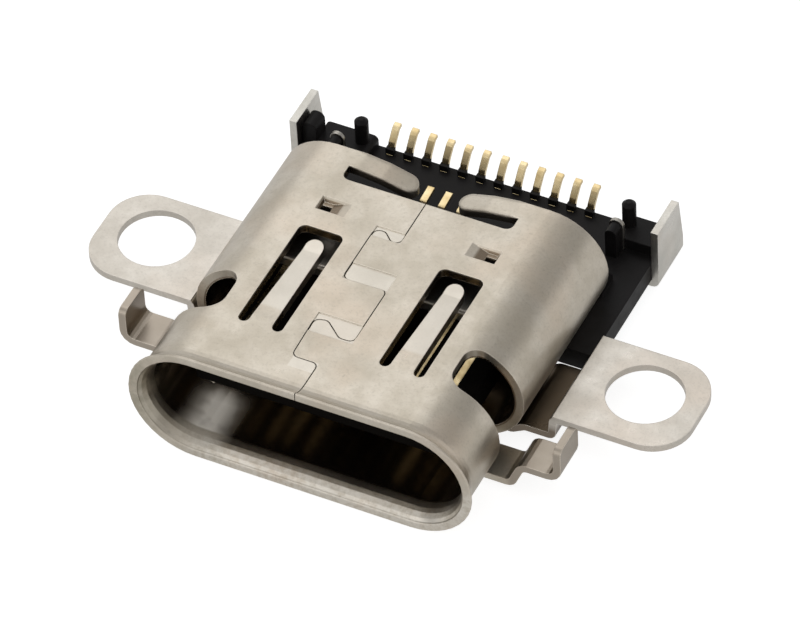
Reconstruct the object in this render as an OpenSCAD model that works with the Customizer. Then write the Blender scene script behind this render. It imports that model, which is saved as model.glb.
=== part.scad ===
// Board-mounted USB-C socket with a rolled steel shell, a screw-down bracket and two rows of
// twelve contacts. Millimetres. +X runs along the width of the mouth, +Y from the mouth to the
// rear, and +Z towards the circuit board that the solder feet and tabs reach up to.
// The origin is the centre of the mouth, in the plane of its rim.

/* [Mouth and shell] */
// Width of the opening that takes the plug
mouth_w = 8.34; // [8.2:0.02:8.5]
// Height of the opening that takes the plug
mouth_h = 2.56; // [2.5:0.02:2.62]
// Sheet thickness of the shell
shell_t = 0.25; // [0.2:0.01:0.3]
// Length of the shell from the rim to its rear edge
shell_len = 8.2; // [8.1:0.05:8.6]
// How far the rim flares outwards
rim_flare = 0.23; // [0.1:0.01:0.25]
// Length of the flared stretch behind the rim
rim_len = 0.5; // [0.4:0.05:0.9]

/* [Shell springs] */
// Distance of each plug spring from the middle of the shell
spring_x = 1.89; // [1.8:0.01:1.95]
// Width of the slot round each plug spring
slot_w = 1.19; // [1.1:0.01:1.25]
// Front end of the slot round each plug spring
slot_front = 1.84; // [1.7:0.01:2]
// Rear end of the slot round each plug spring
slot_rear = 5.38; // [5.2:0.01:5.5]
// Width of a plug spring at its root
spring_root_w = 0.63; // [0.55:0.01:0.68]
// Width of a plug spring at its free end
spring_tip_w = 0.48; // [0.4:0.01:0.54]
// How far a plug spring dips into the mouth
spring_dip = 0.14; // [0.1:0.01:0.36]
// How far the shell's rear edge is set back between the two rear springs
recess_len = 1.02; // [0.9:0.02:1.1]
// Half the width of the recess that the rear springs lie in
recess_half = 2.3; // [2.1:0.02:2.5]
// Width of each rear spring
rear_spring_w = 0.56; // [0.45:0.01:0.62]
// Gap between the tips of the two rear springs
rear_spring_gap = 1.14; // [0.8:0.02:1.4]
// How far a rear spring's tip bends inwards
rear_spring_dip = 0.36; // [0.1:0.01:0.45]

/* [Shell details] */
// Width of the joint where the rolled sheet meets itself
seam_w = 0.025; // [0.02:0.005:0.06]
// Distance of each crimp from the middle of the shell
crimp_x = 2.01; // [1.9:0.01:2.1]
// Depth of each crimp
crimp_depth = 0.13; // [0.05:0.01:0.18]
// Front edge of each side window
window_front = 1.97; // [1.85:0.01:2.05]
// Rear edge of each side window
window_rear = 3.33; // [3.2:0.01:3.45]
// Width of each solder leg that is cut from a side window
leg_w = 1; // [0.9:0.01:1.12]
// Distance of each solder leg from the middle of the shell
leg_x = 5.85; // [5.7:0.01:6]

/* [Bracket] */
// Sheet thickness of the bracket and of the rear tabs
bracket_t = 0.2; // [0.15:0.01:0.22]
// Distance between the two screw holes
hole_spacing = 13.3; // [13:0.05:13.6]
// Diameter of each screw hole
hole_d = 1.96; // [1.6:0.02:2.1]
// Width of the metal beyond each screw hole
ear_margin = 0.52; // [0.45:0.01:0.8]
// Front edge of the ears
ear_front = 3.85; // [3.7:0.01:3.95]
// Rear edge of the ears
ear_rear = 6.82; // [6.7:0.01:6.95]
// Rear edge of the bracket beside the shell
shelf_rear = 6.08; // [5.9:0.01:6.15]
// Height of the ears' upper face, measured from the middle of the mouth
ear_top = -0.72; // [-0.8:0.01:-0.66]

/* [Contacts] */
// Spacing of neighbouring contacts
pitch = 0.5; // [0.48:0.005:0.5]
// Number of contacts in each row
row_count = 12; // [10:2:12]
// Width of each contact
contact_w = 0.18; // [0.16:0.01:0.24]
// Thickness of each contact
contact_t = 0.1; // [0.08:0.01:0.12]
// Height of the soldering faces of all contact feet
board_z = -0.33; // [-0.4:0.01:-0.28]
// Sideways step of the upper contacts' feet
foot_step = 0.25; // [0.15:0.01:0.25]

/* [Tongue] */
// Distance between the tongue's side and the side of the mouth
tongue_gap = 0.825; // [0.8:0.005:0.87]
// Thickness of the tongue
tongue_t = 0.7; // [0.66:0.01:0.74]
// Distance from the rim to the tongue's front end
tongue_front = 1.2; // [1:0.05:1.4]
// Thickness of the plate inside the tongue
plate_t = 0.1; // [0.08:0.01:0.12]

/* [Housing] */
// Distance from the inner end of the mouth to the rear of the shell
rear_wall = 2; // [1.8:0.05:2.05]
// Overall width of the rear block
block_w = 9.7; // [9.6:0.02:9.9]
// Length of the rear block behind the shell
block_len = 2.6; // [2.5:0.02:2.7]
// Height of the rear block's upper face
block_top = -0.95; // [-1:0.01:-0.9]
// Diameter of the two locating posts
post_d = 0.36; // [0.3:0.01:0.44]
// Distance between the two locating posts
post_spacing = 7.36; // [7.2:0.02:7.5]
// How far the pair of posts is set off the middle
post_shift = 0.24; // [0:0.02:0.3]

/* [Hidden] */
$fn = 48;
slack = 0.01;                                  // room between pieces that slide together
far = 20;                                      // longer than any cut needs to be
inner_r = mouth_h / 2;                         // inner radius of the shell's round ends
outer_r = inner_r + shell_t;                   // outer radius of the shell's round ends
end_x = (mouth_w - mouth_h) / 2;               // centre of each round end
side_x = end_x + outer_r;                      // outermost face of the shell's sides
recess_y = shell_len - recess_len;             // the shell's rear edge between its rear springs
mouth_depth = shell_len - rear_wall;
crimp_y = shell_len - 1.98;
block_rear = shell_len + block_len;            // rear face of the rear block
tongue_w = mouth_w - 2 * tongue_gap;
ear_span = hole_spacing + hole_d + 2 * ear_margin;
sheet_z = inner_r + shell_t / 2;               // middle of the shell's flat sheet
foot_z = board_z - contact_t / 2;              // middle of the contact feet
row_z = tongue_t / 2 - contact_t / 2;          // middle of the contacts on the tongue
plate_gap = plate_t / 2 + slack;
tongue_rear = mouth_depth - 1.17;              // where the tongue meets the insulators
insulator_top = tongue_t / 2 + 0.25;
insulator_rear = mouth_depth + 0.4 * rear_wall;
shield_t = 0.08;
plate_side = 0.21;                             // inset of the inner plate from the tongue's sides
plate_nose = 0.26;                             // inset of the inner plate from the tongue's front
tail_w = 0.38;                                 // width of each tail of the inner plate
tail_x = mouth_w / 2 - 0.33;                   // middle of each tail
tail_y = block_rear - 0.85;
tail_top = 0;
base_z = -outer_r;                             // underside of the rear block
plug_rear = recess_y + 0.1;                    // rear end of the housing's full section
slope_foot = shell_len + 0.65;                 // where the housing's rear slope ends
tab_front = block_rear - 1.08;
tab_rear = block_rear + 0.38;
tab_z = -outer_r - bracket_t;                  // underside of the rear tabs' feet
pin_top = 0.15;                                // top of the legs, tabs and posts that enter the board
shelf_z = ear_top - 0.6;                       // upper face of the bracket beside the shell
block_side = block_w / 2;
pad_top = block_top + 0.32;                    // top of the pads that carry the posts
pad_front = tab_front + 0.25;
pad_inset = 0.26;                              // step between the left pad and the block's side
low_z = -inner_r + 0.16;                       // lower contacts' run through the rear block
row_step = 0.22;
high_z = low_z + row_step;                     // upper contacts' run through the rear block
edge_r = 0.05;                                 // rounding of the rim's edges
land_depth = 0.03;                             // depth of the lands pressed along the seam

contact_x = [for (i = [0 : row_count - 1]) (i - (row_count - 1) / 2) * pitch];

// ---- paths and ribbons -------------------------------------------------------------------

function unit(v) = v / norm(v);
function left_of(v) = [-v[1], v[0]];

// The corner at b of the path a, b, c, as an arc of radius r in steps of about step_angle.
step_angle = 24;
function corner(a, b, c, r) =
    let (u = unit(a - b), v = unit(c - b), half = acos(u * v) / 2,
         centre = b + unit(u + v) * r / sin(half),
         p0 = b + u * r / tan(half) - centre, p1 = b + v * r / tan(half) - centre,
         a0 = atan2(p0[1], p0[0]), turn = atan2(p1[1], p1[0]) - a0,
         sweep = turn > 180 ? turn - 360 : turn < -180 ? turn + 360 : turn,
         n = max(1, round(abs(sweep) / step_angle)))
    [for (i = [0 : n]) centre + r * [cos(a0 + sweep * i / n), sin(a0 + sweep * i / n)]];

function bent(path, r) = concat(
    [path[0]],
    [for (i = [1 : len(path) - 2]) each corner(path[i - 1], path[i], path[i + 1], r)],
    [path[len(path) - 1]]);

// The path moved sideways by d, with mitred corners.
function beside(path, d) = let (last = len(path) - 1)
    [for (i = [0 : last])
        let (n0 = left_of(unit(path[max(i, 1)] - path[max(i, 1) - 1])),
             n1 = left_of(unit(path[min(i, last - 1) + 1] - path[min(i, last - 1)])),
             n = unit(n0 + n1))
        path[i] + n * d / (n * n0)];

function backwards(list) = [for (i = [len(list) - 1 : -1 : 0]) list[i]];

// A band of width w along a path.
module ribbon(path, w) {
    polygon(concat(beside(path, w / 2), backwards(beside(path, -w / 2))));
}

// A strip whose path lies in the YZ plane, w wide about x.
module strip_yz(path, t, w, x, r = 0.12) {
    translate([x - w / 2, 0, 0]) rotate([90, 0, 90]) linear_extrude(w) ribbon(bent(path, r), t);
}

// A strip whose path lies in the XZ plane, between y0 and y1.
module strip_xz(path, t, y0, y1, r = 0.2) {
    translate([0, y1, 0]) rotate([90, 0, 0]) linear_extrude(y1 - y0) ribbon(bent(path, r), t);
}

// A box given by its limits.
module block(x0, x1, y0, y1, z0, z1) {
    translate([x0, y0, z0]) cube([x1 - x0, y1 - y0, z1 - z0]);
}

// A rectangle with round corners, given by its limits.
module round_rect(x0, x1, y0, y1, r) {
    translate([x0 + r, y0]) square([x1 - x0 - 2 * r, y1 - y0]);
    translate([x0, y0 + r]) square([x1 - x0, y1 - y0 - 2 * r]);
    for (x = [x0 + r, x1 - r], y = [y0 + r, y1 - r]) translate([x, y]) circle(r);
}

// The same on both sides of the shell.
module both_sides() {
    children();
    mirror([1, 0, 0]) children();
}

// ---- shell -------------------------------------------------------------------------------

// Section of the shell's wall as [y, distance from the middle]: straight, with a flared rim.
flare_angle = 2 * atan(rim_flare / rim_len);
flare_r = rim_len / sin(flare_angle);
function flare_at(y) = y >= rim_len ? 0 : flare_r - sqrt(pow(flare_r, 2) - pow(rim_len - y, 2));
wall_outline =
    let (steps = 4, ys = [for (i = [1 : steps]) rim_len * (1 - i / steps)],
         top = outer_r + flare_at(edge_r), low = inner_r + flare_at(edge_r),
         front = [for (i = [0 : 2]) [edge_r * (1 - sin(i * 45)), edge_r * (1 - cos(i * 45))]])
    concat(
        [[shell_len, inner_r], [shell_len, outer_r], [rim_len, outer_r]],
        [for (y = ys) if (y > edge_r) [y, outer_r + flare_at(y)]],
        [for (f = front) [f[0], top - f[1]]],
        [for (f = backwards(front)) [f[0], low + f[1]]],
        [for (y = backwards(ys)) if (y > edge_r) [y, inner_r + flare_at(y)]],
        [[rim_len, inner_r]]);

// Carries an outline of [y, radius] points round a flat-sided oval.
module oval_sweep(outline) {
    turned = [for (p = outline) [p[1], p[0]]];
    for (side = [-1, 1]) {
        translate([side * end_x, 0, 0]) rotate([-90, 0, 0]) rotate([0, 0, -90 * side])
            rotate_extrude(angle = 180, $fn = 64) polygon(turned);
        translate([-end_x, 0, 0]) rotate([90, 0, 90]) mirror([0, side < 0 ? 1 : 0])
            linear_extrude(2 * end_x) polygon(outline);
    }
}

// A solid flat-sided oval bar of radius r between y0 and y1.
module oval_bar(r, y0, y1) {
    translate([0, y1, 0]) rotate([90, 0, 0]) linear_extrude(y1 - y0) {
        square([2 * end_x, 2 * r], center = true);
        for (side = [-1, 1]) translate([side * end_x, 0]) circle(r, $fn = 64);
    }
}

slot_corner = 0.2;
lower_front = slot_front + 0.5;

// Outline from above of one plug spring: a tapered tongue with a round free end.
module spring_plan(front) {
    tip = slot_rear - 0.3 - spring_tip_w / 2;
    polygon([[-spring_root_w / 2, front - 0.1], [spring_root_w / 2, front - 0.1],
             [spring_tip_w / 2, tip], [-spring_tip_w / 2, tip]]);
    translate([0, tip]) circle(spring_tip_w / 2);
}

// One plug spring, flush with the shell at its root and dipping into the mouth near its end.
module plug_spring(front) {
    crest = slot_rear - 0.6;
    intersection() {
        strip_yz([[front - 0.4, sheet_z], [front + 0.3, sheet_z], [crest, sheet_z - spring_dip],
                  [slot_rear, sheet_z]], shell_t, slot_w, 0, 0.5);
        linear_extrude(far) spring_plan(front);
    }
}

// The slot round a plug spring: two slits with round front ends, joined behind the spring.
module plug_slot(front) {
    slit_w = (slot_w - spring_root_w) / 2;
    y0 = front + slit_w / 2;
    for (side = [-1, 1]) translate([side * (slot_w - slit_w) / 2, y0]) circle(slit_w / 2);
    translate([-slot_w / 2, y0]) square([slot_w, slot_rear - y0 - slot_corner]);
    round_rect(-slot_w / 2, slot_w / 2, slot_rear - 1, slot_rear, slot_corner);
}
// Places its child over each plug spring: a pair above, and a pair below that starts deeper.
module at_springs(up) {
    mirror([0, 0, up ? 0 : 1]) for (side = [-1, 1]) translate([side * spring_x, 0, 0]) children();
}

module rear_spring() {
    tip = rear_spring_gap / 2;
    y1 = shell_len;
    y0 = y1 - rear_spring_w;
    intersection() {
        strip_xz([[recess_half + 0.3, sheet_z], [recess_half - 0.55, sheet_z],
                  [tip - 0.1, sheet_z - rear_spring_dip]], shell_t, y0 - 1, y1, 2.4);
        linear_extrude(far) {
            translate([tip + rear_spring_w / 2, y0]) square([recess_half, rear_spring_w]);
            translate([tip + rear_spring_w / 2, y0 + rear_spring_w / 2]) circle(rear_spring_w / 2);
        }
    }
}

// The joint runs from the rim to the rear round two dovetails. Their ends meet in an S, and a
// shallow land is pressed over each end.
seam_left = -0.76;
seam_right = 0.44;
seam_path = bent([[0, -1], [0, 1.28], [seam_left + 0.04, 1.28], [seam_left, 2.62], [-0.45, 2.7],
                  [0.05, 2.28], [seam_right, 2.28], [seam_right, 4.14], [seam_left, 4.12],
                  [seam_left, 5.92], [-0.5, 5.97], [-0.24, 5.72], [0.02, 5.7],
                  [0, shell_len + 1]], 0.16);
seam_lands = [[seam_left, seam_right, 2.2, 2.85], [seam_left, seam_right, 4.12, 4.68],
              [seam_left, 0.02, 5.7, 6.05]];

module seam() {
    linear_extrude(far) ribbon(seam_path, seam_w);
    for (b = seam_lands) block(b[0], b[1], b[2], b[3], outer_r - land_depth, far);
}

// A solder leg: out from the side window, up a step, along, and up through the board.
module side_leg() {
    arm_z = ear_top - bracket_t / 2;
    low = -inner_r - 0.1 - bracket_t / 2;
    y0 = (window_front + window_rear) / 2 - leg_w / 2 - 0.05;
    y1 = y0 + leg_w;
    knee = 0.3;
    strip_xz([[end_x - 0.2, -sheet_z], [end_x + 0.5, -sheet_z], [end_x + 0.85, low],
              [4.6, low], [4.88, arm_z], [leg_x - knee - 0.2, arm_z]], bracket_t, y0, y1, 0.22);
    intersection() {
        strip_xz([[leg_x - knee - 0.25, arm_z], [leg_x, arm_z], [leg_x, pin_top]],
                 bracket_t, y0, y1, knee);
        translate([far, 0, 0]) rotate([0, -90, 0]) linear_extrude(far)
            round_rect(-far, pin_top, y0, y1, 0.2);
    }
}

module side_window() {
    linear_extrude(far) round_rect(end_x + 0.16, far, window_front, window_rear, 0.45);
    block(end_x + 0.45, far, window_front, window_rear, -far, 0.5);
}

// A pressed pocket: a ramp down to a steep outer wall, with a slit at its foot.
module crimp() {
    half = [0.42, 0.24];
    floor_z = outer_r - crimp_depth;
    translate([crimp_x, crimp_y, 0]) {
        intersection() {
            rotate([90, 0, 0]) linear_extrude(1, center = true)
                polygon([[-half[0], outer_r + slack], [half[0], outer_r + slack],
                         [half[0] - 0.08, floor_z], [half[0] - 0.34, floor_z]]);
            rotate([90, 0, 90]) linear_extrude(1, center = true)
                polygon([[-half[1], outer_r + slack], [half[1], outer_r + slack],
                         [half[1] - 0.08, floor_z], [0.08 - half[1], floor_z]]);
        }
        block(half[0] - 0.34, half[0] - 0.08, -0.12, 0.04, floor_z - shell_t, outer_r);
    }
}

module shell() color([0.76, 0.73, 0.68]) {
    difference() {
        oval_sweep(wall_outline);
        at_springs(true) linear_extrude(far) plug_slot(slot_front, $fn = 24);
        at_springs(false) linear_extrude(far) plug_slot(lower_front, $fn = 24);
        linear_extrude(far) round_rect(-recess_half, recess_half, recess_y, far, 0.2);
        seam();
        both_sides() {
            side_window();
            crimp();
        }
    }
    at_springs(true) plug_spring(slot_front);
    at_springs(false) plug_spring(lower_front);
    both_sides() {
        rear_spring();
        side_leg();
    }
}

// ---- bracket and rear tabs ---------------------------------------------------------------

// Section of the bracket from its middle out to the ear.
plate_z = -outer_r - bracket_t / 2;
shelf_mid = shelf_z - bracket_t / 2;
ear_mid = ear_top - bracket_t / 2;
ear_in = block_side + 0.05;
half_section = [[side_x - 0.65, plate_z], [side_x - 0.3, shelf_mid],
                [ear_in - 0.03, shelf_mid], [ear_in + 0.02, ear_mid], [ear_in + 0.4, ear_mid]];

module ear() {
    end = ear_span / 2;
    corner_r = 1.05;
    translate([0, 0, ear_top - bracket_t]) linear_extrude(bracket_t) difference() {
        union() {
            translate([ear_in, ear_front]) square([end - corner_r - ear_in, ear_rear - ear_front]);
            round_rect(hole_spacing / 2 - hole_d / 2, end, ear_front, ear_rear, corner_r);
        }
        translate([hole_spacing / 2, (ear_front + ear_rear) / 2 + 0.1]) circle(hole_d / 2);
    }
}

module mounting_bracket() color([0.78, 0.77, 0.71]) {
    mirrored = [for (p = backwards(half_section)) [-p[0], p[1]]];
    difference() {
        strip_xz(concat(mirrored, half_section), bracket_t, ear_front, shelf_rear, 0.12);
        for (side = [-1, 1]) translate([side * spring_x, 0, -far])
            linear_extrude(far) round_rect(-slot_w / 2 - 0.05, slot_w / 2 + 0.05,
                                           ear_front - 1, slot_rear + 0.05, 0.2);
    }
    both_sides() ear();
}

// A tab held against the side of the rear block, with a foot that turns in below it.
module rear_tab() color([0.74, 0.74, 0.7]) {
    face = block_side + slack + bracket_t / 2;
    foot = tab_z + bracket_t / 2;
    intersection() {
        strip_xz([[face, pin_top], [face, foot], [face - 0.45, foot]], bracket_t,
                 tab_front, tab_rear, bracket_t / 2 + slack);
        rotate([90, 0, 90]) linear_extrude(far)
            polygon([[tab_front, pin_top], [tab_rear - 0.22, pin_top], [tab_rear, -1.2],
                     [tab_rear, tab_z + 0.1], [tab_rear - 0.1, -far], [tab_front, -far]]);
    }
}

// ---- contacts ----------------------------------------------------------------------------

// One lower contact: along the tongue, down to the rear block, and up to its foot.
lower_path = [[tongue_front + 0.4, -row_z], [insulator_rear + 0.15, -row_z],
              [insulator_rear + 0.7, low_z], [block_rear - 0.32, low_z],
              [block_rear - 0.12, block_top], [block_rear, foot_z - 0.32],
              [block_rear + 0.24, foot_z - 0.03], [block_rear + 0.38, foot_z]];
module lower_contact(x, grow = 0) {
    strip_yz(lower_path, contact_t + grow, contact_w + grow, x, 0.12);
}

// One upper contact: its foot is stepped sideways and lies ahead of the lower row's.
upper_path = [[tongue_front + 0.4, row_z], [insulator_rear + 0.1, row_z],
              [shell_len - 0.05, high_z], [shell_len + 0.1, high_z]];
upper_foot = [[shell_len + 0.35, high_z], [shell_len + 0.5, high_z],
              [shell_len + 0.78, foot_z - 0.05], [shell_len + 1.25, foot_z]];
module upper_contact(x, grow = 0) {
    w = contact_w + grow;
    t = contact_t + grow;
    strip_yz(upper_path, t, w, x, 0.06);
    strip_yz(upper_foot, t, w, x - foot_step, 0.06);
    translate([0, 0, high_z - t / 2]) linear_extrude(t)
        polygon([[x - w / 2, shell_len + 0.08], [x + w / 2, shell_len + 0.08],
                 [x - foot_step + w / 2, shell_len + 0.37],
                 [x - foot_step - w / 2, shell_len + 0.37]]);
}

module all_contacts(grow) {
    for (x = contact_x) {
        lower_contact(x, grow);
        upper_contact(x, grow);
    }
}

// ---- tongue, insulators and inner metal --------------------------------------------------

module tongue() color([0.1, 0.1, 0.1]) {
    half_w = tongue_w / 2;
    nose = 0.12;
    difference() {
        rotate([90, 0, 90]) translate([0, 0, -half_w]) linear_extrude(tongue_w)
            polygon([[tongue_front, -tongue_t / 2 + nose], [tongue_front + nose, -tongue_t / 2],
                     [tongue_rear, -tongue_t / 2], [tongue_rear, tongue_t / 2],
                     [tongue_front + nose, tongue_t / 2], [tongue_front, tongue_t / 2 - nose]]);
        block(plate_side - slack - half_w, half_w - plate_side + slack,
              tongue_front + plate_nose - slack, far, -plate_gap, plate_gap);
        both_sides() block(half_w - 0.15, far, tongue_front + 0.75, tongue_front + 1.55, -far, far);
        for (x = contact_x, side = [0, 1]) mirror([0, 0, side])
            block(x - contact_w / 2, x + contact_w / 2, tongue_front + 0.4, far,
                  row_z - contact_t / 2, far);
    }
}

// One insulator holds one row of contacts behind the tongue.
module insulator(side) {
    half_w = tongue_w / 2;
    difference() {
        mirror([0, 0, side < 0 ? 1 : 0])
            block(-half_w, half_w, tongue_rear, insulator_rear, plate_gap, insulator_top);
        all_contacts(slack);
    }
}
module upper_insulator() color([0.12, 0.12, 0.12]) insulator(1);
module lower_insulator() color([0.12, 0.12, 0.12]) insulator(-1);

module middle_plate() color([0.7, 0.7, 0.68]) {
    half_w = tongue_w / 2 - plate_side;
    block(-half_w, half_w, tongue_front + plate_nose, insulator_rear, -plate_t / 2, plate_t / 2);
    block(-tail_x - tail_w / 2, tail_x + tail_w / 2, mouth_depth + 0.15, insulator_rear,
          -plate_t / 2, plate_t / 2);
    both_sides() plate_tail(0);
}

// A tail of the middle plate: back, down into the rear block, and up to the board.
module plate_tail(grow) {
    w = tail_w + grow;
    strip_yz([[insulator_rear - 0.2, 0], [insulator_rear + 0.3, 0], [shell_len - 0.3, -0.36],
              [shell_len + 0.08, -0.4], [shell_len + 0.45, low_z - 0.1], [tail_y, low_z - 0.1],
              [tail_y, tail_top - tail_w / 2]], plate_t + grow, w, tail_x, 0.1);
    translate([tail_x, tail_y + (plate_t + grow) / 2, tail_top - tail_w / 2]) rotate([90, 0, 0])
        linear_extrude(plate_t + grow) circle(w / 2);
}

// A thin ground plate over each insulator, with a lip down to the tongue.
module ground_shield(side) {
    z = insulator_top + shield_t / 2;
    lip_y = tongue_rear - shield_t / 2 - slack;
    mirror([0, 0, side < 0 ? 1 : 0])
        strip_yz([[mouth_depth, z], [lip_y, z], [lip_y, tongue_t / 2 + slack]],
                 shield_t, tongue_w - 0.1, 0, 0.05);
}
module upper_ground_shield() color([0.72, 0.7, 0.66]) ground_shield(1);
module lower_ground_shield() color([0.72, 0.7, 0.66]) ground_shield(-1);

// ---- housing -----------------------------------------------------------------------------

// The part of the housing that fills the rear of the shell, cut down to a slope at the back.
module housing_plug() {
    slope = [[mouth_depth, -far], [mouth_depth, far], [plug_rear, far],
             [plug_rear, inner_r], [slope_foot, high_z + 0.12], [slope_foot, -far]];
    intersection() {
        union() {
            oval_bar(inner_r - slack, mouth_depth, shell_len + slack);
            block(-side_x + 0.2, side_x - 0.2, shell_len + slack, slope_foot, base_z, inner_r);
        }
        rotate([90, 0, 90]) linear_extrude(far, center = true) polygon(slope);
    }
}

// A small rib in front of each contact foot.
module comb(xs, y) {
    for (x = xs) block(x - contact_w / 2 - 0.02, x + contact_w / 2 + 0.02, y - 0.14, y,
                       block_top - 0.05, block_top + 0.18);
}

// A raised pad on the rear block, with round upper corners.
module pad(x0, x1, y0, y1, top, r = 0.14) {
    translate([0, y1, 0]) rotate([90, 0, 0]) linear_extrude(y1 - y0)
        round_rect(x0, x1, block_top - 0.4, top, r, $fn = 16);
}

// A post with a chamfered top that enters a hole of the board.
module post(x) {
    chamfer = 0.1;
    translate([x, block_rear - 0.3, block_top - 0.2]) {
        cylinder(h = pin_top - chamfer - block_top + 0.2, d = post_d, $fn = 24);
        translate([0, 0, pin_top - chamfer - block_top + 0.2])
            cylinder(h = chamfer, d1 = post_d, d2 = post_d - 2 * chamfer, $fn = 24);
    }
}

module housing() color([0.07, 0.07, 0.07]) {
    arm_front = shelf_rear + 0.2;
    feet_x = [for (x = contact_x) x - foot_step];
    post_x = [post_shift - post_spacing / 2, post_shift + post_spacing / 2];
    difference() {
        union() {
            housing_plug();
            block(-block_side, block_side, shell_len + slack, block_rear, base_z, block_top);
            both_sides() {
                difference() {
                    block(end_x + 0.7, block_side, arm_front, shell_len + 0.1, base_z, block_top);
                    oval_bar(outer_r + 2 * slack, arm_front - 1, shell_len + slack);
                }
                pad(tail_x - tail_w / 2 + 0.04, tail_x + tail_w / 2 - 0.04, tail_y - 0.4, tail_y,
                    tail_top - 0.05);
            }
            pad(-block_side, 0.4 - block_side, pad_front, pad_front + 0.5, tail_top - 0.03, 0.18);
            pad(pad_inset - block_side, post_x[0] + 0.3, pad_front, block_rear, pad_top);
            pad(post_x[1] - 0.2, block_side, pad_front, block_rear, pad_top);
            for (x = post_x) post(x);
            pad(-3.35, -1.3, shell_len + 0.1, slope_foot + 0.12, 0.05, 0.05);
            pad(0.3, 2.9, shell_len + 0.1, slope_foot + 0.12, 0.05, 0.05);
            comb(contact_x, block_rear - 0.06);
            comb([for (x = feet_x) if (x > -1.3 && x < 0.3) x], shell_len + 0.66);
        }
        block(-tongue_w / 2 - slack, tongue_w / 2 + slack, mouth_depth - 1, insulator_rear,
              -insulator_top - slack, insulator_top + slack);
        block(-tail_x - tail_w / 2 - slack, tail_x + tail_w / 2 + slack, mouth_depth - 1,
              insulator_rear, -plate_gap, plate_gap);
        all_contacts(slack);
        both_sides() plate_tail(slack);
    }
}

// ---- what is drawn -----------------------------------------------------------------------

shell();
mounting_bracket();
housing();
tongue();
upper_insulator();
lower_insulator();
middle_plate();
upper_ground_shield();
lower_ground_shield();
rear_tab();  // rear_tab_right
mirror([1, 0, 0]) rear_tab();  // rear_tab_left
for (i = [1 : row_count]) {
    color([0.83, 0.74, 0.5]) upper_contact(contact_x[i - 1]);
    color([0.83, 0.74, 0.5]) lower_contact(contact_x[i - 1]);
}
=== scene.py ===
"""A board-mounted USB-C socket on a pale floor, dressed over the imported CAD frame.

The CAD nodes carry every form. This script gives each of them its material, and adds the
floor, the soft studio light and the camera. Lengths are in metres, as in the frame, where
no comment says otherwise.
"""

import math

import bpy
from mathutils import Matrix, Vector


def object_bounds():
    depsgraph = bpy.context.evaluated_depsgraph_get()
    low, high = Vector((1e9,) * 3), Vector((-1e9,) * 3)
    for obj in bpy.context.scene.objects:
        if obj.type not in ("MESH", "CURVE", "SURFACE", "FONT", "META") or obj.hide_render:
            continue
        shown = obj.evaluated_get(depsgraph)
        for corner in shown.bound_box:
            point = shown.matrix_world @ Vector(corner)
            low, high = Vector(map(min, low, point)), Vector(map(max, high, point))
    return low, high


MM = 0.001
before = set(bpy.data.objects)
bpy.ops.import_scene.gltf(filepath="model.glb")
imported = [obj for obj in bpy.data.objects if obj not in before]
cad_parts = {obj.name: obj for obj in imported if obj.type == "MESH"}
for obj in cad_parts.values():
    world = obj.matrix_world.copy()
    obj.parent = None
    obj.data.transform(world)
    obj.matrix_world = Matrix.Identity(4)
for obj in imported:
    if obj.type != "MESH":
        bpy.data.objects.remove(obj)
cad_low, cad_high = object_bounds()
scene = bpy.context.scene

# ---- camera --------------------------------------------------------------------------------

AZIMUTH = math.radians(28.2)
ELEVATION = math.radians(45.8)
ROLL = math.radians(-3.3)
DISTANCE = 173.1 * MM
AIM = Vector((0.34, 4.89, -0.25)) * MM
LENS = 319.5
SENSOR = 36.0


def add_camera():
    """A long lens above and to the right of the mouth, turned a little about its own axis."""
    back = Vector(
        (
            math.sin(AZIMUTH) * math.cos(ELEVATION),
            -math.cos(AZIMUTH) * math.cos(ELEVATION),
            math.sin(ELEVATION),
        )
    )
    level = Vector((math.cos(AZIMUTH), math.sin(AZIMUTH), 0))
    above = back.cross(level)
    right = math.cos(ROLL) * level + math.sin(ROLL) * above
    up = back.cross(right)
    data = bpy.data.cameras.new("camera")
    data.lens, data.sensor_width = LENS, SENSOR
    data.clip_start, data.clip_end = 1 * MM, 10
    camera = bpy.data.objects.new("camera", data)
    turn = Matrix((right, up, back)).transposed().to_4x4()
    camera.matrix_world = Matrix.Translation(AIM + back * DISTANCE) @ turn
    scene.collection.objects.link(camera)
    scene.camera = camera


# ---- places on the shell, in millimetres ---------------------------------------------------

# Lands pressed across the joint: left, right, front and rear.
LANDS = (
    (-0.66, 0.0, 0.95, 1.28),
    (-0.76, 0.44, 2.2, 2.85),
    (-0.76, 0.44, 4.12, 4.68),
    (-0.76, 0.02, 5.7, 6.05),
)
SPRING_X = 1.89
SPRING_HALF_W = 0.32
SPRING_Y = (2.6, 5.15)
REAR_SPRING_TIPS_X = (0.4, 2.0)
REAR_SPRING_TIPS_Y = (7.55, 8.3)
TUBE_END_X = 2.89
TUBE_INNER_R = 1.28
TUBE_Y = (0.6, 8.1)
LIT_PATCH = ((-3.1, -2.7), (0.4, 1.5), (-1.5, -0.6))
LEG_ROOT_X = 4.46
BRACKET_LOW_Z = (-1.25, -1.0)

ROUND_EDGE = 0.03 * MM  # radius of the softened edges, in metres



# ---- material nodes ------------------------------------------------------------------------


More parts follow.
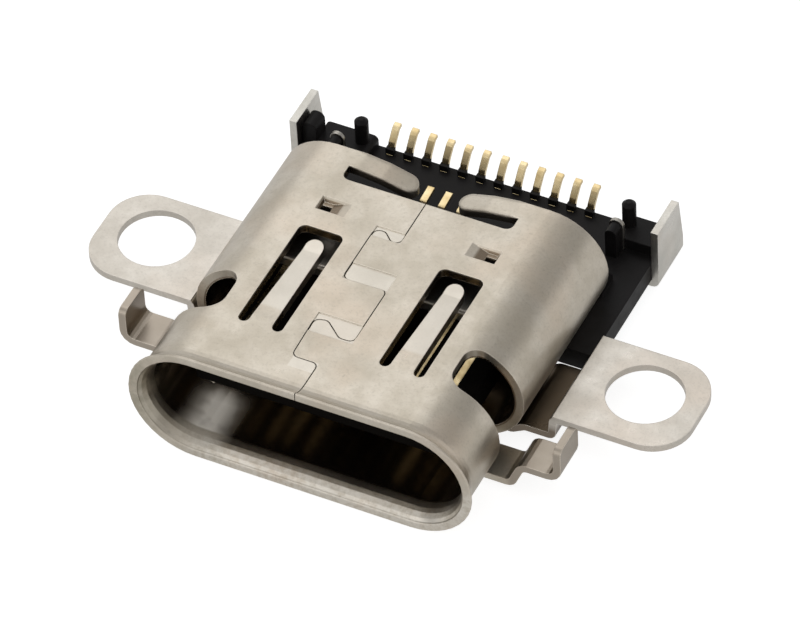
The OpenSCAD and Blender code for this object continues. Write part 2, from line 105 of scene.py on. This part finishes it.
class Graph:
    """A material under construction, with short calls for the nodes that finishes share."""

    def __init__(self, name):
        self.material = bpy.data.materials.new(name)
        self.material.use_nodes = True
        self.nodes = self.material.node_tree.nodes
        self.links = self.material.node_tree.links
        self.nodes.clear()
        self.out = self.nodes.new("ShaderNodeOutputMaterial")
        self.place = self.nodes.new("ShaderNodeTexCoord").outputs["Object"]
        self.split = None

    def put(self, node, values):
        """Sets or links each named input of a node."""
        for name, value in values.items():
            if isinstance(value, bpy.types.NodeSocket):
                self.links.new(value, node.inputs[name])
            else:
                node.inputs[name].default_value = value

    def noise(self, per_mm, detail=3.0, rough=0.6, stretch=(1, 1, 1)):
        """Noise with features of about 1 / per_mm millimetres."""
        mapping = self.nodes.new("ShaderNodeMapping")
        self.links.new(self.place, mapping.inputs["Vector"])
        mapping.inputs["Scale"].default_value = [per_mm / MM * s for s in stretch]
        node = self.nodes.new("ShaderNodeTexNoise")
        self.put(
            node,
            {
                "Vector": mapping.outputs["Vector"],
                "Scale": 1.0,
                "Detail": detail,
                "Roughness": rough,
            },
        )
        return node.outputs["Fac"]

    def spread(self, value, low, high, to_low, to_high):
        """Maps a value from one range to another, clamped."""
        node = self.nodes.new("ShaderNodeMapRange")
        self.put(
            node,
            {
                "Value": value,
                "From Min": low,
                "From Max": high,
                "To Min": to_low,
                "To Max": to_high,
            },
        )
        return node.outputs["Result"]

    def blend(self, amount, first, second):
        """Mixes two colours by an amount."""
        node = self.nodes.new("ShaderNodeMix")
        node.data_type = "RGBA"
        sockets = {s.identifier: s for s in node.inputs}
        for key, value in (
            ("Factor_Float", amount),
            ("A_Color", first),
            ("B_Color", second),
        ):
            if isinstance(value, bpy.types.NodeSocket):
                self.links.new(value, sockets[key])
            else:
                sockets[key].default_value = value
        return next(s for s in node.outputs if s.identifier == "Result_Color")

    def math(self, operation, first, second=0.0):
        """One arithmetic node."""
        node = self.nodes.new("ShaderNodeMath")
        node.operation = operation
        for socket, value in zip(node.inputs, (first, second)):
            if isinstance(value, bpy.types.NodeSocket):
                self.links.new(value, socket)
            else:
                socket.default_value = value
        return node.outputs["Value"]

    def axes(self):
        """The three object coordinates in millimetres."""
        if self.split is None:
            node = self.nodes.new("ShaderNodeSeparateXYZ")
            self.links.new(self.place, node.inputs["Vector"])
            self.split = [self.math("DIVIDE", s, MM) for s in node.outputs]
        return self.split

    def between(self, value, low, high, soft):
        """1 between two limits, falling to 0 over a soft border outside them."""
        rise = self.spread(value, low - soft, low, 0.0, 1.0)
        return self.math("MULTIPLY", rise, self.spread(value, high, high + soft, 1.0, 0.0))

    def region(self, limits, soft):
        """1 inside a box given as limits in x, y and z, each of which may be None."""
        mask = None
        for value, pair in zip(self.axes(), limits):
            if pair is not None:
                part = self.between(value, pair[0], pair[1], soft)
                mask = part if mask is None else self.math("MULTIPLY", mask, part)
        return mask

    def edge_mask(self, radius, low, high):
        """1 on edges, from how far rounding by a radius in metres turns the normal there."""
        bevel = self.nodes.new("ShaderNodeBevel")
        bevel.samples = 4
        bevel.inputs["Radius"].default_value = radius
        flat = self.nodes.new("ShaderNodeNewGeometry")
        node = self.nodes.new("ShaderNodeVectorMath")
        node.operation = "DOT_PRODUCT"
        self.links.new(bevel.outputs["Normal"], node.inputs[0])
        self.links.new(flat.outputs["True Normal"], node.inputs[1])
        return self.spread(node.outputs["Value"], low, high, 1.0, 0.0)

    def bump(self, height, strength, depth, under=None):
        """Relief of a depth in millimetres, over an earlier normal if there is one."""
        node = self.nodes.new("ShaderNodeBump")
        self.put(
            node, {"Height": height, "Strength": strength, "Distance": depth * MM}
        )
        if under is not None:
            self.links.new(under, node.inputs["Normal"])
        return node.outputs["Normal"]

    def soft_edge(self, radius):
        """The normal of edges rounded by a radius in metres, a number or a socket."""
        node = self.nodes.new("ShaderNodeBevel")
        node.samples = 4
        self.put(node, {"Radius": radius})
        return node.outputs["Normal"]

    def clouded(self, clouds, gloss):
        """Roughness about a level, a little rougher where the clouds are dense."""
        return self.spread(clouds, 0.3, 0.7, gloss - 0.05, gloss + 0.08)

    def product(self, *masks):
        """The masks multiplied together."""
        result = masks[0]
        for mask in masks[1:]:
            result = self.math("MULTIPLY", result, mask)
        return result

    def finish(self, look):
        """Closes the material with one Principled shader."""
        shader = self.nodes.new("ShaderNodeBsdfPrincipled")
        self.put(shader, look)
        self.links.new(shader.outputs["BSDF"], self.out.inputs["Surface"])
        return self.material


def rgb(red, green, blue):
    """A colour with full alpha."""
    return (red, green, blue, 1.0)


def scaled(colour, factor):
    """The colour made lighter or darker, at most white."""
    return rgb(*[min(1.0, c * factor) for c in colour[:3]])


PALE_LAND = rgb(0.72, 0.68, 0.61)
# Painted shade for the tube's inside, over a darker inner plating; the lit colour after it is
# a painted pool of light.
INSIDE_PAINTED_SHADE = rgb(0.24, 0.19, 0.14)
LIT_INSIDE = rgb(1.0, 0.95, 0.86)
# Painted highlight for the lower lip of the mouth.
LIP_PAINTED_HIGHLIGHT = rgb(0.8, 0.76, 0.69)
# Darker colour for the rim's left front end.
DARKER_RIM_LEFT = rgb(0.36, 0.33, 0.26)
# Painted shade for the legs.
LEG_PAINTED_SHADE = rgb(0.37, 0.32, 0.265)
# Painted shade for the bracket's low part beside the shell.
BRACKET_PAINTED_SHADE = rgb(0.22, 0.18, 0.14)


def plated_steel(name, light, dark, gloss, wear, extra=None):
    """Nickel-plated sheet: cloudy handling marks, fine scratches two ways, and a painted
    highlight on the edges.
    """
    g = Graph(name)
    clouds = g.noise(0.8, 4.0, 0.65)
    patches = g.noise(2.6, 3.0, 0.6)
    specks = g.noise(9.0, 2.0, 0.5)
    scratches = g.noise(2.0, 5.0, 0.75, stretch=(1.0, 14.0, 14.0))
    cross = g.noise(2.5, 5.0, 0.75, stretch=(12.0, 0.8, 12.0))
    tone = g.blend(g.spread(clouds, 0.36, 0.62, 0.0, 1.0), light, dark)
    tone = g.blend(g.spread(patches, 0.45, 0.7, 0.0, 0.55), tone, dark)
    warm = rgb(light[0], light[1] * 0.93, light[2] * 0.88)
    wash = g.noise(0.5, 2.0, 0.5)
    tone = g.blend(g.spread(wash, 0.5, 0.7, 0.0, 0.6), tone, warm)
    fine = g.noise(16.0, 2.0, 0.7)
    tone = g.blend(g.spread(fine, 0.5, 0.75, 0.0, 0.35), tone, scaled(dark, 0.7))
    tone = g.blend(
        g.spread(specks, 0.62, 0.78, 0.0, 0.3 * wear), tone, scaled(dark, 0.65)
    )
    look = {
        "Base Color": tone,
        "Metallic": 1.0,
        "Roughness": g.clouded(clouds, gloss),
        "round": ROUND_EDGE,
    }
    if extra is not None:
        extra(g, look)
    # Painted highlight: the edges are made paler in the colour itself, where light would
    # catch them.
    edge_highlight = g.edge_mask(0.04 * MM, 0.8, 0.98)
    look["Base Color"] = g.blend(edge_highlight, look["Base Color"], scaled(light, 1.3))
    normal = g.soft_edge(look.pop("round"))
    normal = g.bump(scratches, 0.22 * wear, 0.005, normal)
    normal = g.bump(cross, 0.18 * wear, 0.005, normal)
    look["Normal"] = g.bump(clouds, 0.3, 0.02, normal)
    return g.finish(look)


def spring_masks(g, half, y):
    """1 on the two plug springs, and 1 on the tips of the two rear springs."""
    springs = g.product(
        g.between(half, SPRING_X - SPRING_HALF_W, SPRING_X + SPRING_HALF_W, 0.03),
        g.between(y, *SPRING_Y, 0.1),
    )
    tips = g.product(
        g.between(half, *REAR_SPRING_TIPS_X, 0.3), g.between(y, *REAR_SPRING_TIPS_Y, 0.05)
    )
    return springs, tips


def inside_mask(g, half, y, z, springs, tips):
    """1 on the inner wall of the tube and on the cut edges of its top, but on no spring:
    where shade is painted inside the tube.
    """
    across = g.math("MAXIMUM", g.math("SUBTRACT", half, TUBE_END_X), 0.0)
    squares = g.math("ADD", g.math("POWER", across, 2.0), g.math("POWER", z, 2.0))
    radius = g.math("SQRT", squares)
    wall = g.spread(radius, TUBE_INNER_R + 0.03, TUBE_INNER_R + 0.06, 1.0, 0.0)
    cut = g.product(
        g.spread(radius, TUBE_INNER_R + 0.18, TUBE_INNER_R + 0.2, 1.0, 0.0),
        g.spread(half, 2.6, 2.7, 1.0, 0.0),
    )
    inside = g.product(g.math("MAXIMUM", wall, cut), g.between(y, *TUBE_Y, 0.05))
    bare = g.product(
        g.math("SUBTRACT", 1.0, springs), g.math("SUBTRACT", 1.0, tips)
    )
    return g.product(inside, bare)


def shell_marks(g, look):
    """The shell's lands and bright springs, with painted shade inside the tube and on the
    legs, a painted pool of light inside, a painted highlight on the lip and a darker left
    front end of the rim.
    """
    x, y, z = g.axes()
    half = g.math("ABSOLUTE", x)
    tone = look["Base Color"]
    top = g.spread(z, 1.45, 1.47, 0.0, 1.0)
    for left, right, front, rear in LANDS:
        land = g.product(top, g.region(((left, right), (front, rear), None), 0.02))
        tone = g.blend(g.product(land, 0.55), tone, PALE_LAND)
    springs, tips = spring_masks(g, half, y)
    tone = g.blend(g.product(springs, 0.6), tone, PALE_LAND)

    # Painted shade inside the tube, with a painted pool of light on its left wall.
    inside = inside_mask(g, half, y, z, springs, tips)
    mottle = g.noise(1.6, 2.0, 0.5)
    lit = g.product(g.region(LIT_PATCH, 0.6), g.spread(mottle, 0.3, 0.5, 0.6, 1.0))
    tone = g.blend(inside, tone, g.blend(lit, INSIDE_PAINTED_SHADE, LIT_INSIDE))

    # Painted highlight on the lower lip of the mouth, mottled.
    mottle = g.noise(5.0, 4.0, 0.7)
    lip_highlight = g.product(
        g.spread(y, 0.3, 0.45, 1.0, 0.0),
        g.spread(z, 0.0, 0.3, 1.0, 0.0),
        g.spread(x, -3.6, -2.6, 0.0, 1.0),
        g.spread(mottle, 0.38, 0.58, 0.1, 1.0),
    )
    tone = g.blend(g.product(lip_highlight, 0.6), tone, LIP_PAINTED_HIGHLIGHT)

    # The rim is made darker towards its left front end, mottled.
    mottle = g.noise(3.5, 3.0, 0.6)
    worn = g.product(
        g.spread(x, -4.3, -3.7, 1.0, 0.0),
        g.spread(y, 0.7, 1.3, 1.0, 0.0),
        g.spread(mottle, 0.35, 0.6, 0.35, 0.9),
    )
    tone = g.blend(worn, tone, DARKER_RIM_LEFT)

    # Painted shade: the legs are coloured a darker brown.
    legs = g.product(
        g.spread(half, LEG_ROOT_X, LEG_ROOT_X + 0.14, 0.0, 1.0),
        g.spread(y, 1.0, 1.5, 0.0, 1.0),
    )
    look["Base Color"] = g.blend(g.product(legs, 0.85), tone, LEG_PAINTED_SHADE)

    shine = g.spread(inside, 0.0, 1.0, look["Roughness"], 0.24)
    look["Roughness"] = g.math("ADD", shine, g.product(lit, 0.25))
    look["Metallic"] = g.math("SUBTRACT", 1.0, g.product(lit, 0.7))
    look["round"] = g.spread(tips, 0.0, 1.0, ROUND_EDGE, 5.0 * ROUND_EDGE)


def bracket_painted_shade(g, look):
    """The bracket's low part beside the shell, darkened brown as painted shade."""
    low = g.spread(g.axes()[2], *BRACKET_LOW_Z, 1.0, 0.0)
    look["Base Color"] = g.blend(low, look["Base Color"], BRACKET_PAINTED_SHADE)


def moulded_plastic(name, colour, gloss, shine=0.12):
    """Glass-filled black plastic: fine grain, faint flow marks."""
    g = Graph(name)
    grain = g.noise(26.0, 2.0, 0.5)
    flow = g.noise(2.2, 3.0, 0.6)
    tone = g.blend(g.spread(flow, 0.35, 0.7, 0.0, 1.0), colour, scaled(colour, 1.6))
    normal = g.bump(grain, 0.3, 0.006, g.soft_edge(ROUND_EDGE))
    return g.finish(
        {
            "Base Color": tone,
            "Roughness": g.clouded(flow, gloss),
            "Specular IOR Level": shine,
            "Normal": normal,
        }
    )


def gold_plate(name, light, dark, gloss):
    """Thin gold over nickel: paler where it is worn."""
    g = Graph(name)
    wash = g.noise(3.0, 3.0, 0.6)
    grain = g.noise(18.0, 2.0, 0.5)
    tone = g.blend(g.spread(wash, 0.35, 0.65, 0.0, 1.0), light, dark)
    normal = g.bump(grain, 0.06, 0.002, g.soft_edge(0.02 * MM))
    return g.finish(
        {
            "Base Color": tone,
            "Metallic": 1.0,
            "Roughness": g.clouded(wash, gloss),
            "Normal": normal,
        }
    )


# ---- finishes of the CAD nodes -------------------------------------------------------------


def dress_nodes():
    """Gives every CAD node the finish of its piece."""
    shell = plated_steel(
        "shell_nickel",
        light=rgb(0.62, 0.567, 0.485),
        dark=rgb(0.52, 0.468, 0.385),
        gloss=0.32,
        wear=1.0,
        extra=shell_marks,
    )
    bracket = plated_steel(
        "bracket_nickel",
        light=rgb(0.66, 0.62, 0.56),
        dark=rgb(0.56, 0.52, 0.46),
        gloss=0.3,
        wear=0.7,
        extra=bracket_painted_shade,
    )
    tab = plated_steel(
        "tab_nickel",
        light=rgb(0.66, 0.64, 0.59),
        dark=rgb(0.57, 0.55, 0.5),
        gloss=0.3,
        wear=0.6,
    )
    inner = plated_steel(
        "inner_steel",
        light=rgb(0.5, 0.48, 0.44),
        dark=rgb(0.4, 0.38, 0.34),
        gloss=0.35,
        wear=0.8,
    )
    black = moulded_plastic("black_plastic", rgb(0.009, 0.0082, 0.0082), gloss=0.42)
    insulator = moulded_plastic("insulator_plastic", rgb(0.008, 0.0075, 0.0075), gloss=0.5)
    tongue = moulded_plastic(
        "tongue_plastic", rgb(0.004, 0.0034, 0.0028), gloss=0.5, shine=0.02
    )
    gold = gold_plate(
        "contact_gold", light=rgb(0.8, 0.66, 0.4), dark=rgb(0.7, 0.54, 0.28), gloss=0.28
    )
    finishes = {
        "shell": shell,
        "mounting_bracket": bracket,
        "rear_tab_left": tab,
        "rear_tab_right": tab,
        "housing": black,
        "tongue": tongue,
        "upper_insulator": insulator,
        "lower_insulator": insulator,
        "middle_plate": inner,
        "upper_ground_shield": inner,
        "lower_ground_shield": inner,
    }
    for name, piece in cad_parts.items():
        material = finishes.get(name, gold)
        piece.data.materials.clear()
        piece.data.materials.append(material)


# ---- floor and light -----------------------------------------------------------------------

FLOOR_HALF_SIDE = 1.5
FLOOR_SEEN = 0.85  # the floor's own glow to the camera
FLOOR_REFLECTED = 0.44  # and in the metal
FLOOR_MATT = 0.4  # the part that takes the shadow
# The surround's brightness by height, from straight below to straight above.
SKY = ((0.0, 0.85), (0.2, 0.8), (0.4, 0.42), (0.7, 0.42), (0.85, 0.75), (1.0, 0.85))


def add_floor():
    """A wide white floor that the part's feet stand on."""
    side = FLOOR_HALF_SIDE
    z = cad_low.z
    mesh = bpy.data.meshes.new("floor")
    corners = [(-side, -side, z), (side, -side, z), (side, side, z), (-side, side, z)]
    mesh.from_pydata(corners, [], [(0, 1, 2, 3)])
    floor = bpy.data.objects.new("floor", mesh)
    scene.collection.objects.link(floor)
    g = Graph("floor_white")
    seen = g.nodes.new("ShaderNodeLightPath")
    level = g.math(
        "ADD",
        g.math("MULTIPLY", seen.outputs["Is Camera Ray"], FLOOR_SEEN),
        g.math("MULTIPLY", seen.outputs["Is Glossy Ray"], FLOOR_REFLECTED),
    )
    glow = g.nodes.new("ShaderNodeEmission")
    glow.inputs["Color"].default_value = rgb(1, 1, 1)
    g.links.new(level, glow.inputs["Strength"])
    matt = g.nodes.new("ShaderNodeBsdfDiffuse")
    matt.inputs["Color"].default_value = rgb(FLOOR_MATT, FLOOR_MATT, FLOOR_MATT)
    both = g.nodes.new("ShaderNodeAddShader")
    g.links.new(glow.outputs["Emission"], both.inputs[0])
    g.links.new(matt.outputs["BSDF"], both.inputs[1])
    g.links.new(both.outputs["Shader"], g.out.inputs["Surface"])
    mesh.materials.append(g.material)


def add_lamp(name, direction, distance, size, power):
    """A square soft box that looks at the part from a direction."""
    data = bpy.data.lights.new(name, "AREA")
    data.shape, data.size = "SQUARE", size
    data.energy = power
    lamp = bpy.data.objects.new(name, data)
    aim = (cad_low + cad_high) / 2
    away = Vector(direction).normalized()
    lamp.location = aim + away * distance
    lamp.rotation_mode = "QUATERNION"
    lamp.rotation_quaternion = away.to_track_quat("Z", "Y")
    scene.collection.objects.link(lamp)


def add_light():
    """A soft box above the left rear, a weaker one at the left front, and a pale surround."""
    add_lamp("overhead", (-0.52, 0.47, 0.75), distance=0.18, size=0.15, power=0.055)
    add_lamp("front_fill", (-0.45, -0.9, 0.55), distance=0.2, size=0.14, power=0.05)
    world = bpy.data.worlds.new("surround")
    world.use_nodes = True
    nodes, links = world.node_tree.nodes, world.node_tree.links
    split = nodes.new("ShaderNodeSeparateXYZ")
    links.new(nodes.new("ShaderNodeTexCoord").outputs["Generated"], split.inputs["Vector"])
    ramp = nodes.new("ShaderNodeValToRGB")
    ramp.color_ramp.interpolation = "EASE"
    stops = ramp.color_ramp.elements
    stops[0].position, stops[0].color = SKY[0][0], rgb(*[SKY[0][1]] * 3)
    stops[1].position, stops[1].color = SKY[-1][0], rgb(*[SKY[-1][1]] * 3)
    for height, level in SKY[1:-1]:
        stops.new(height).color = rgb(level, level, level)
    links.new(split.outputs["Z"], ramp.inputs["Fac"])
    links.new(ramp.outputs["Color"], nodes["Background"].inputs["Color"])
    scene.world = world


add_camera()
dress_nodes()
add_floor()
add_light()
scene.view_settings.view_transform = "Standard"
